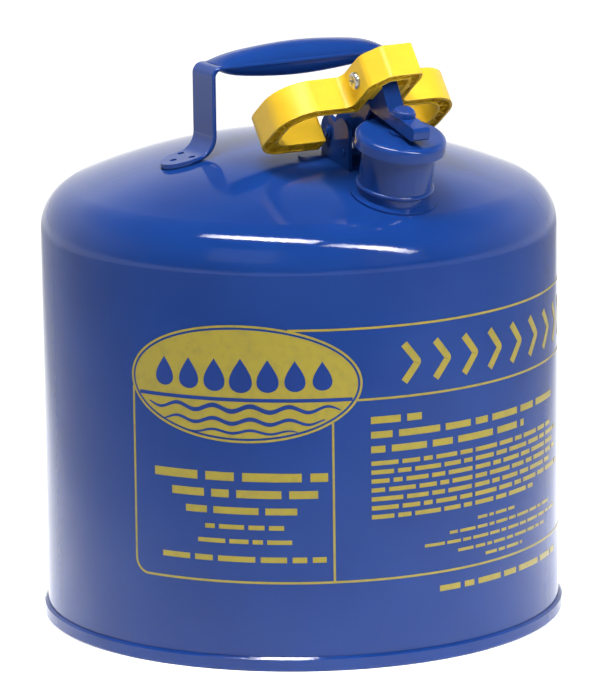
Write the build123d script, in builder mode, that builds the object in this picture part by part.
from build123d import *
import math
import os

# Five gallon safety can for flammable liquids: a drawn steel body, a slanted pour spout with a
# self closing cap, and a finger trigger in front of a fixed carrying handle.
# Frame: origin at the centre of the base, +Z up. Millimetres.

# ---- driving dimensions ----
rim_radius = 158.75            # seam around the base, 12.5 in across
body_radius = 156.6
sheet = 0.9                    # body steel
seam_height = 8.7
wall_top = 238.4               # where the straight wall ends
shoulder_radius = 29.6
dome_slope = 23.4              # dome slope in degrees where it meets the shoulder
base_recess = 6.0              # base pan above the floor

mechanism_azimuth = -60        # direction of the spout seen from above
spout_offset = 112.8           # spout foot from the can axis
spout_tilt = 14                # spout leans outwards, degrees
neck_radius = 22.0
neck_bore = 20.9
neck_height = 35.3             # lip above the foot, along the spout
arrester_radius = 19.6
arrester_depth = 92

cap_radius = 27.2
cap_top = 38.5                 # cap face above the foot, along the spout
cap_rim = 8.5
gasket_thickness = 1.9
arm_top = 50.0                 # top of the forward arm above the foot, along the spout
arm_bottom = 42.0
arm_width = 11.0

pivot_out, pivot_up = 58.0, 305.0      # lever pivot, from the can axis and from the floor
pivot_pin_radius = 2.5
yoke_gap = 19.6                # between the two cheeks of the bracket
yoke_sheet = 2.4
running_clearance = 0.06

trigger_out, trigger_up = 94.0, 325.6  # lower edge of the trigger's front band, on the mid plane
trigger_slope = 37             # the trigger's own plane rises towards the spout
trigger_width = 20.5
trigger_span = 60.5            # half its length
screw_along, screw_across = 14.0, 10.5 # trigger screw, from that lower edge

handle_leg = 64.0              # legs from the can axis
strap_width = 25.4
strap_thickness = 2.6
grip_height = 341.0            # centre of the grip
grip_wide, grip_deep = 24.0, 20.0
foot_end = 93.5

# ---- derived places ----
turn = math.radians(dome_slope)
shoulder_centre = body_radius - shoulder_radius
dome_start = shoulder_centre + shoulder_radius * math.sin(turn)
dome_radius = dome_start / math.sin(turn)
dome_centre = wall_top + shoulder_radius * math.cos(turn) - dome_radius * math.cos(turn)
spout_up = dome_centre + math.sqrt(dome_radius**2 - spout_offset**2)

outward = Vector(1, 0, 0).rotate(Axis.Z, mechanism_azimuth)
across = Vector(0, 1, 0).rotate(Axis.Z, mechanism_azimuth)
upward = Vector(0, 0, 1)
lean = math.radians(spout_tilt)
spout_axis = outward * math.sin(lean) + upward * math.cos(lean)
rise = math.radians(trigger_slope)
trigger_depth_axis = outward * math.cos(rise) + upward * math.sin(rise)
trigger_width_axis = upward * math.cos(rise) - outward * math.sin(rise)

spout_foot = outward * spout_offset + upward * spout_up
trigger_origin = outward * trigger_out + upward * trigger_up
pivot_point = outward * pivot_out + upward * pivot_up
arm_half = arm_width / 2
yoke_half = yoke_gap / 2
arm_sheet = 2.0


def side_plane(offset=0.0):
    """Plane of the mechanism: local x runs outwards from the can axis, local y up."""
    return Plane(origin=across * offset, x_dir=outward, z_dir=-across)


def spout_plane(height=0.0):
    """Plane square to the spout, at a height along it."""
    return Plane(origin=spout_foot + spout_axis * height, x_dir=outward * math.cos(lean)
                 - upward * math.sin(lean), z_dir=spout_axis)


def spout_section():
    """Plane through the spout axis: local x is the radius, local y runs up the spout."""
    return Plane(origin=spout_foot, x_dir=across, z_dir=across.cross(spout_axis))


def trigger_plane(width=0.0):
    """Plane of the trigger's outline: local x across, local y towards the spout."""
    return Plane(origin=trigger_origin + trigger_width_axis * width, x_dir=across,
                 z_dir=-trigger_width_axis)


def over_cap(along, above):
    """Point of the side plane given along the cap face and above the spout foot."""
    return (spout_offset + along * math.cos(lean) + above * math.sin(lean),
            spout_up - along * math.sin(lean) + above * math.cos(lean))


def dome_height(radius):
    """Height of the outside of the dome at a distance from the can axis."""
    return dome_centre + math.sqrt(dome_radius**2 - radius**2)


def finish(piece, name):
    """Label one finished piece and write its STEP file."""
    piece.part.label = name
    export_step(piece.part, f"parts/{name}.step")
    solids = piece.part.solids()
    print(f"{name:18s} solids {len(solids):2d} volume {piece.part.volume:10.1f}")


os.makedirs("parts", exist_ok=True)
pivot_line = Plane(origin=pivot_point, x_dir=outward, z_dir=across)
dome_ball = Pos(0, 0, dome_centre) * Sphere(dome_radius)


def dome_layer(thickness):
    """Skin of the given thickness that lies on the outside of the dome."""
    span = 24
    edge = (dome_radius * math.sin(math.radians(span)), dome_radius * math.cos(math.radians(span)))
    outer = dome_radius + thickness
    outer_edge = (outer * math.sin(math.radians(span)), outer * math.cos(math.radians(span)))
    with BuildPart() as skin:
        with BuildSketch(Plane.XZ):
            with BuildLine():
                CenterArc((0, dome_centre), dome_radius, 90 - span, span)
                Line((0, dome_centre + dome_radius), (0, dome_centre + outer))
                CenterArc((0, dome_centre), outer, 90, -span)
                Line((outer_edge[0], dome_centre + outer_edge[1]),
                     (edge[0], dome_centre + edge[1]))
            make_face()
        revolve(axis=Axis.Z)
    return skin.part


# ---- body: one drawn shell, open below, with a hole for the spout ----
wall_foot = 2.0
with BuildPart() as body_shell:
    with BuildSketch(Plane.XZ):
        with BuildLine():
            Line((body_radius, wall_foot), (body_radius, wall_top))
            CenterArc((shoulder_centre, wall_top), shoulder_radius, 0, 90 - dome_slope)
            CenterArc((0, dome_centre), dome_radius, 90 - dome_slope, dome_slope)
            Line((0, dome_centre + dome_radius), (0, dome_centre + dome_radius - sheet))
            CenterArc((0, dome_centre), dome_radius - sheet, 90, -dome_slope)
            CenterArc((shoulder_centre, wall_top), shoulder_radius - sheet, 90 - dome_slope,
                      dome_slope - 90)
            Line((body_radius - sheet, wall_top), (body_radius - sheet, wall_foot))
            Line((body_radius - sheet, wall_foot), (body_radius, wall_foot))
        make_face()
    revolve(axis=Axis.Z)
    with BuildSketch(spout_plane(-14)):
        Circle(neck_radius)
    extrude(amount=28, mode=Mode.SUBTRACT)
finish(body_shell, "body_shell")

# ---- base pan, its edge rolled round the foot of the wall ----
pan_wall = body_radius - sheet
with BuildPart() as bottom_pan:
    with BuildSketch(Plane.XZ):
        with BuildLine():
            Polyline((0, base_recess), (pan_wall - 2.9, base_recess), (pan_wall - sheet, 4.0),
                     (pan_wall - sheet, 1.0), (pan_wall + 0.1, 0), (rim_radius - 1.2, 0),
                     (rim_radius, 1.2), (rim_radius, seam_height - 1.3),
                     (rim_radius - 1.3, seam_height), (body_radius, seam_height),
                     (body_radius, wall_foot), (pan_wall, wall_foot), (pan_wall, 5.2),
                     (pan_wall - 2.4, base_recess + 0.9), (0, base_recess + 0.9), close=True)
        make_face()
    revolve(axis=Axis.Z)
finish(bottom_pan, "bottom_pan")

# ---- spout neck with its bead and curled lip ----
bead_height, bead_radius = 5.5, 1.5
with BuildPart() as spout_neck:
    with BuildSketch(spout_plane(-9)):
        Circle(neck_radius)
        Circle(neck_bore, mode=Mode.SUBTRACT)
    extrude(amount=neck_height + 9)
    with BuildSketch(spout_section()):
        with Locations((neck_radius - 0.1, bead_height)):
            Circle(bead_radius)
        with Locations((neck_radius + 0.2, neck_height - 1.3)):
            RectangleRounded(2.2, 2.6, 1.0)
        with BuildLine():
            Polyline((0, -9), (neck_radius - 0.5, -9), (neck_radius - 0.5, neck_height),
                     (0, neck_height), close=True)
        make_face(mode=Mode.SUBTRACT)
    revolve(axis=Axis(spout_foot, spout_axis))
finish(spout_neck, "spout_neck")

# ---- solder ring between neck and dome ----
ring_radius = neck_radius + 4.5
ring_skin = dome_layer(1.4)
with BuildPart() as neck_ring:
    with BuildSketch(spout_plane(-10)):
        Circle(ring_radius)
        Circle(neck_radius, mode=Mode.SUBTRACT)
    extrude(amount=20)
    add(ring_skin, mode=Mode.INTERSECT)
finish(neck_ring, "neck_ring")

# ---- flame arrester: a perforated tube with a closed foot, hung in the neck ----
arrester_top = neck_height - 3.0
hole_rows, holes_round, hole_radius = 7, 10, 3.0
with BuildPart() as flame_arrester:
    with BuildSketch(spout_plane(arrester_top - arrester_depth)):
        Circle(arrester_radius)
    extrude(amount=arrester_depth)
    with BuildSketch(spout_plane(arrester_top - arrester_depth + 1)):
        Circle(arrester_radius - 0.7)
    extrude(amount=arrester_depth, mode=Mode.SUBTRACT)
    for row in range(hole_rows):
        height = arrester_top - arrester_depth + 7 + 7.5 * row
        for spoke in range(holes_round // 2):
            bearing = math.radians(360 / holes_round * (spoke + 0.5 * (row % 2)))
            side = spout_plane(height).x_dir * math.cos(bearing)
            side = side + across * math.sin(bearing)
            with BuildSketch(Plane(origin=spout_plane(height).origin, z_dir=side)):
                Circle(hole_radius)
            extrude(amount=arrester_radius + 1, both=True, mode=Mode.SUBTRACT)
finish(flame_arrester, "flame_arrester")

# ---- ring that holds the arrester in the neck ----
with BuildPart() as arrester_ring:
    with BuildSketch(spout_plane(arrester_top - 3)):
        Circle(neck_bore)
        Circle(arrester_radius, mode=Mode.SUBTRACT)
    extrude(amount=3)
finish(arrester_ring, "arrester_ring")

# ---- handle: one strap, rolled round into a hollow grip between the legs ----
foot_gap = 0.8
foot_lift = foot_gap + strap_thickness / 2
grip_stations = ((-58, 25.4, 3.4), (-53, 25.2, 9.0), (-43, 24.8, 14.5), (-16, grip_wide, grip_deep),
                 (16, grip_wide, grip_deep), (43, 24.8, 14.5), (53, 25.2, 9.0), (58, 25.4, 3.4))
grip_sheet = 1.9
grip_slot = 7.0
foot_tip_radius = 10.5
foot_bend, grip_bend = 13.0, 5.0
foot_cutter = ((-17, 14), (-6.5, 9.7), (-6.5, -9.7), (-17, -14))   # tapers the tip of a foot
weld_radius = 2.6
weld_places = ((86.0, 0), (77.0, 7.0), (77.0, -7.0))
dimple_radius, dimple_depth = 2.1, 0.9
cross_plane = Plane(origin=(0, 0, 0), x_dir=across, z_dir=outward)


def grip_plane(station):
    """Plane square to the grip: local x outwards, local y up."""
    return Plane(origin=across * station + upward * grip_height, x_dir=outward, z_dir=-across)


with BuildPart() as handle:
    with BuildLine(cross_plane) as strap_route:
        foot_end_up = dome_height(foot_end) + foot_lift
        leg_foot_up = dome_height(handle_leg) + foot_lift
        FilletPolyline((foot_end, foot_end_up), (handle_leg, leg_foot_up),
                       (handle_leg, grip_height), (-handle_leg, grip_height),
                       (-handle_leg, leg_foot_up), (-foot_end, foot_end_up),
                       radius=[foot_bend, grip_bend, grip_bend, foot_bend])
    with BuildSketch(Plane(origin=strap_route.line @ 0, x_dir=outward,
                           z_dir=strap_route.line % 0)):
        RectangleRounded(strap_width, strap_thickness, 1.0)
    sweep()
    for station, wide, deep in grip_stations:
        with BuildSketch(grip_plane(station)):
            Ellipse(wide / 2, deep / 2)
    loft()
    for station, wide, deep in grip_stations[1:-1]:
        with BuildSketch(grip_plane(station)):
            Ellipse(wide / 2 - grip_sheet, max(deep / 2 - grip_sheet, 1.2))
    loft(mode=Mode.SUBTRACT)
    with BuildSketch(Plane(origin=upward * (grip_height - grip_deep), x_dir=across,
                           z_dir=upward)):
        SlotOverall(92, grip_slot)
    extrude(amount=grip_deep, mode=Mode.SUBTRACT)
    for end in (1, -1):
        with BuildSketch(Plane(origin=across * (end * foot_end) + upward * (foot_end_up - 20),
                               x_dir=across * end, z_dir=upward)):
            Rectangle(32, 60)
            with Locations((-foot_tip_radius, 0)):
                Circle(foot_tip_radius, mode=Mode.SUBTRACT)
            with BuildLine():
                Polyline(*foot_cutter, close=True)
            make_face(mode=Mode.SUBTRACT)
        extrude(amount=40, mode=Mode.SUBTRACT)
        for reach, side in weld_places:
            spot = across * (end * reach) + outward * side
            foot_top = dome_height(reach) + foot_lift + strap_thickness / 2
            with BuildSketch(Plane(origin=spot + upward * (foot_top - dimple_depth),
                                   z_dir=upward)):
                Circle(dimple_radius)
            extrude(amount=6, mode=Mode.SUBTRACT)
finish(handle, "handle")

# ---- projection welds under the feet of the handle ----
weld_skin = dome_layer(2 * foot_gap)
with BuildPart() as handle_welds:
    for end in (1, -1):
        for reach, side in weld_places:
            spot = across * (end * reach) + outward * side
            with BuildSketch(Plane(origin=spot + upward * (dome_height(reach) - 4),
                                   z_dir=upward)):
                Circle(weld_radius)
            extrude(amount=8)
    add(weld_skin, mode=Mode.INTERSECT)
    add(handle.part, mode=Mode.SUBTRACT)
finish(handle_welds, "handle_welds")

# ---- lever bracket: foot plate on the dome, two lobed cheeks ----
spring_pin_out, spring_pin_up = 75.0, 295.0
spring_pin_radius = 2.2
plate_sheet = 1.7
plate_skin = dome_layer(plate_sheet)
with BuildPart() as lever_bracket:
    with BuildSketch(Plane(origin=upward * 270, x_dir=outward, z_dir=upward)):
        with Locations((64, 0)):
            Rectangle(32, yoke_gap + 2 * yoke_sheet)
        with Locations((51, 0)):
            SlotOverall(57, 12, rotation=90)
    extrude(amount=40)
    add(plate_skin, mode=Mode.INTERSECT)
    for side in (yoke_half, -yoke_half - yoke_sheet):
        with BuildSketch(side_plane(side + yoke_sheet)):
            with Locations((pivot_out, pivot_up + 2)):
                Circle(8.5)
            with Locations((73.5, pivot_up + 2.5)):
                Circle(8.0)
            with BuildLine():
                Polyline((pivot_out - 8.5, pivot_up + 2), (pivot_out - 8.5, 284), (81.5, 280),
                         (81.5, pivot_up + 2.5), (73.5, pivot_up + 7.5),
                         (pivot_out, pivot_up + 7.5), close=True)
            make_face()
        extrude(amount=yoke_sheet)
    add(dome_ball, mode=Mode.SUBTRACT)
    with BuildSketch(pivot_line):
        Circle(pivot_pin_radius)
    extrude(amount=yoke_gap, both=True, mode=Mode.SUBTRACT)
    with BuildSketch(side_plane()):
        with Locations((spring_pin_out, spring_pin_up)):
            Circle(spring_pin_radius)
    extrude(amount=yoke_gap, both=True, mode=Mode.SUBTRACT)
finish(lever_bracket, "lever_bracket")

# ---- pins in the bracket ----
cheek_outside = yoke_half + yoke_sheet
with BuildPart() as pivot_pin:
    with BuildSketch(pivot_line):
        Circle(pivot_pin_radius)
    extrude(amount=cheek_outside + 2.6, both=True)
    with BuildSketch(pivot_line.offset(-cheek_outside - 1.4)):
        Circle(4.2)
    extrude(amount=1.4)
finish(pivot_pin, "pivot_pin")

with BuildPart() as pivot_clip:
    with BuildSketch(pivot_line.offset(cheek_outside)):
        Circle(4.6)
        Circle(pivot_pin_radius, mode=Mode.SUBTRACT)
    extrude(amount=1.2)
finish(pivot_clip, "pivot_clip")

with BuildPart() as spring_pin:
    with BuildSketch(side_plane()):
        with Locations((spring_pin_out, spring_pin_up)):
            Circle(spring_pin_radius)
    extrude(amount=cheek_outside + 0.8, both=True)
finish(spring_pin, "spring_pin")

# ---- closing spring: one coil on each side of the lever, hooked under the spring pin ----
spring_wire = 1.2
spring_radius = 4.6
coil_turns = 2
coil_pitch = spring_wire + 0.1
with BuildPart() as closing_spring:
    for side in (1, -1):
        start = arm_half + 0.2 + spring_wire / 2
        with BuildLine() as coil:
            Helix(pitch=coil_pitch, height=coil_pitch * coil_turns, radius=spring_radius,
                  center=pivot_point + across * (side * start), direction=across * side)
        with BuildSketch(Plane(origin=coil.line @ 0, z_dir=coil.line % 0)):
            Circle(spring_wire / 2)
        sweep(is_frenet=True)
finish(closing_spring, "closing_spring")

# ---- lever: folded channel, pivot eye, forward arm over the cap, upright for the trigger ----
screw_point = (trigger_origin + trigger_depth_axis * screw_along
               + trigger_width_axis * screw_across)
screw_out = screw_point.dot(outward)
screw_up = screw_point.Z
eye_radius = 8.0
post_radius = 7.6
nose_reach = 22.0
post_foot = over_cap(-8, arm_top)


def lever_outline(drop, nose):
    """Side view of the lever, lowered by drop; what that leaves above is the folded top."""
    with BuildSketch(side_plane()) as outline:
        with BuildLine():
            corners = [over_cap(nose, arm_top), over_cap(nose, arm_bottom),
                       over_cap(-29, arm_bottom), (83, 308.5), (pivot_out + 3, pivot_up - 7.4),
                       (pivot_out - 5.4, pivot_up + 5.9), (screw_out - 6.4, screw_up + 4.1),
                       (screw_out + 6.6, screw_up + 3.8), post_foot]
            Polyline(*[(out, up - drop) for out, up in corners], close=True)
        make_face()
        fillet(outline.vertices().sort_by(Axis.X)[-2:], radius=2.5)
        with Locations((pivot_out, pivot_up - drop)):
            Circle(eye_radius)
        with Locations((screw_out, screw_up - drop)):
            Circle(post_radius)
    return outline.sketch


with BuildPart() as lever:
    extrude(lever_outline(0.0, nose_reach), amount=arm_half, both=True)
    extrude(lever_outline(arm_sheet, nose_reach - arm_sheet), amount=arm_half - arm_sheet,
            both=True, mode=Mode.SUBTRACT)
    with BuildSketch(pivot_line):
        Circle(pivot_pin_radius + running_clearance)
    extrude(amount=arm_width, both=True, mode=Mode.SUBTRACT)
    with BuildSketch(side_plane()):
        with Locations((screw_out, screw_up)):
            Circle(2.5)
    extrude(amount=arm_width, both=True, mode=Mode.SUBTRACT)
    with BuildSketch(spout_plane(cap_top)):
        Circle(3.0 + running_clearance)
    extrude(amount=20, mode=Mode.SUBTRACT)
finish(lever, "lever")

# ---- trigger: one moulded band, a closed hump over the lever and a hooked wing each side ----
wing_back, wing_front = -53.0, 0.5      # outside of the wings, along the trigger's depth
back_wall, front_wall, tip_wall = 11.0, 7.3, 9.2
wing_gap = 17.0                # wings end this far from the mid plane, beside the bracket
hump_half, hump_wall = 17.0, 7.5
hump_top, hump_ceiling = 36.5, 29.5
inner_wing = trigger_span - tip_wall
inner_hump = hump_half - hump_wall
outer_wing = [(wing_gap, wing_back), (trigger_span, wing_back), (trigger_span, wing_front),
              (hump_half, wing_front)]
inner_wing_line = [(wing_gap, wing_back + back_wall), (inner_wing, wing_back + back_wall),
                   (inner_wing, wing_front - front_wall), (inner_hump, wing_front - front_wall)]
outer_hump = [(hump_half, 29.5), (14.5, hump_top), (-7, hump_top), (-hump_half, 26)]
inner_hump_line = [(inner_hump, 26.5), (8, hump_ceiling), (-4, hump_ceiling), (-inner_hump, 22.5)]
outer_radii = [18, 22, 5, 6, 3, 5, 8, 5, 22, 18]
inner_radii = [10, 16, 2, 3, 2, 2, 3, 2, 16, 10]


def band_line(wing, hump):
    """Outline over both wings: a wing, the hump, and the wing's mirror image."""
    return wing + hump + [(-along, depth) for along, depth in reversed(wing)]


with BuildPart() as trigger:
    with BuildSketch(trigger_plane(trigger_width)):
        with BuildLine():
            FilletPolyline(*band_line(outer_wing, outer_hump), radius=outer_radii)
            FilletPolyline(*band_line(inner_wing_line, inner_hump_line), radius=inner_radii)
            for side in (1, -1):
                Line((side * wing_gap, wing_back), (side * wing_gap, wing_back + back_wall))
        make_face()
    extrude(amount=trigger_width)
    with BuildSketch(trigger_plane(trigger_width)):
        for side in (1, -1):
            with Locations((side * (arm_half + hump_half) / 2 - side, screw_along)):
                Rectangle(hump_half - arm_half - 2, 14)
    extrude(amount=trigger_width)
    with BuildSketch(side_plane()):
        with Locations((screw_out, screw_up)):
            Circle(2.5)
    extrude(amount=60, both=True, mode=Mode.SUBTRACT)
finish(trigger, "trigger")

# ---- trigger screw and nut ----
flank_face = 17.0
screw_line = Plane(origin=screw_point, x_dir=outward, z_dir=-across)
with BuildPart() as trigger_screw:
    with BuildSketch(screw_line.offset(flank_face)):
        Circle(5.2)
    extrude(amount=2.6)
    fillet(trigger_screw.edges().sort_by(Axis((0, 0, 0), across))[0], radius=1.8)
    with BuildSketch(screw_line.offset(flank_face + 1.2)):
        Rectangle(6, 1.2)
        Rectangle(1.2, 6)
    extrude(amount=2, mode=Mode.SUBTRACT)
    with BuildSketch(screw_line.offset(-flank_face - 4.5)):
        Circle(2.5)
    extrude(amount=2 * flank_face + 4.5)
finish(trigger_screw, "trigger_screw")

with BuildPart() as trigger_nut:
    with BuildSketch(screw_line.offset(-flank_face - 4)):
        RegularPolygon(4.6, 6)
        Circle(2.5, mode=Mode.SUBTRACT)
    extrude(amount=4)
finish(trigger_nut, "trigger_nut")

# ---- cap: pressed lid with a round shoulder, gasket and plate inside ----
cap_sheet = 1.2
skirt_foot = cap_top - cap_rim
with BuildPart() as cap:
    with BuildSketch(spout_plane(skirt_foot)):
        Circle(cap_radius)
    extrude(amount=cap_rim)
    fillet(cap.faces().sort_by(Axis(spout_foot, spout_axis))[-1].edges(), radius=3.6)
    with BuildSketch(spout_plane(skirt_foot)):
        Circle(cap_radius - cap_sheet)
    extrude(amount=cap_rim - cap_sheet - 2.4, mode=Mode.SUBTRACT)
    with BuildSketch(spout_plane(skirt_foot)):
        Circle(cap_radius - 3.2)
    extrude(amount=cap_rim - cap_sheet, mode=Mode.SUBTRACT)
    with BuildSketch(spout_plane(cap_top)):
        Circle(7.5)
    extrude(amount=1.6)
    with BuildSketch(spout_plane(skirt_foot)):
        Circle(3.0)
    extrude(amount=cap_rim + 4, mode=Mode.SUBTRACT)
finish(cap, "cap")

gasket_top = cap_top - cap_sheet
with BuildPart() as cap_gasket:
    with BuildSketch(spout_plane(gasket_top - gasket_thickness)):
        Circle(cap_radius - 3.2)
        Circle(3.0, mode=Mode.SUBTRACT)
    extrude(amount=gasket_thickness)
finish(cap_gasket, "cap_gasket")

plate_radius = 14.0
with BuildPart() as gasket_plate:
    with BuildSketch(spout_plane(gasket_top - gasket_thickness - 1.2)):
        Circle(plate_radius)
        Circle(3.0, mode=Mode.SUBTRACT)
    extrude(amount=1.2)
finish(gasket_plate, "gasket_plate")

# ---- stem: rivet through cap and arm, round head on top, washer under the head ----
stem_foot = gasket_top - gasket_thickness - 1.2
with BuildPart() as cap_stem:
    with BuildSketch(spout_plane(stem_foot - 1.6)):
        Circle(5.5)
    extrude(amount=1.6)
    with BuildSketch(spout_plane(stem_foot)):
        Circle(3.0)
    extrude(amount=arm_top + 1.2 - stem_foot)
    with BuildSketch(spout_plane(arm_top + 1.2)):
        Circle(6.5)
    extrude(amount=2.8)
    fillet(cap_stem.faces().sort_by(Axis(spout_foot, spout_axis))[-1].edges(), radius=1.8)
finish(cap_stem, "cap_stem")

with BuildPart() as stem_washer:
    with BuildSketch(spout_plane(arm_top + 0.1)):
        Circle(7.2)
        Circle(3.0, mode=Mode.SUBTRACT)
    extrude(amount=1.1)
finish(stem_washer, "stem_washer")
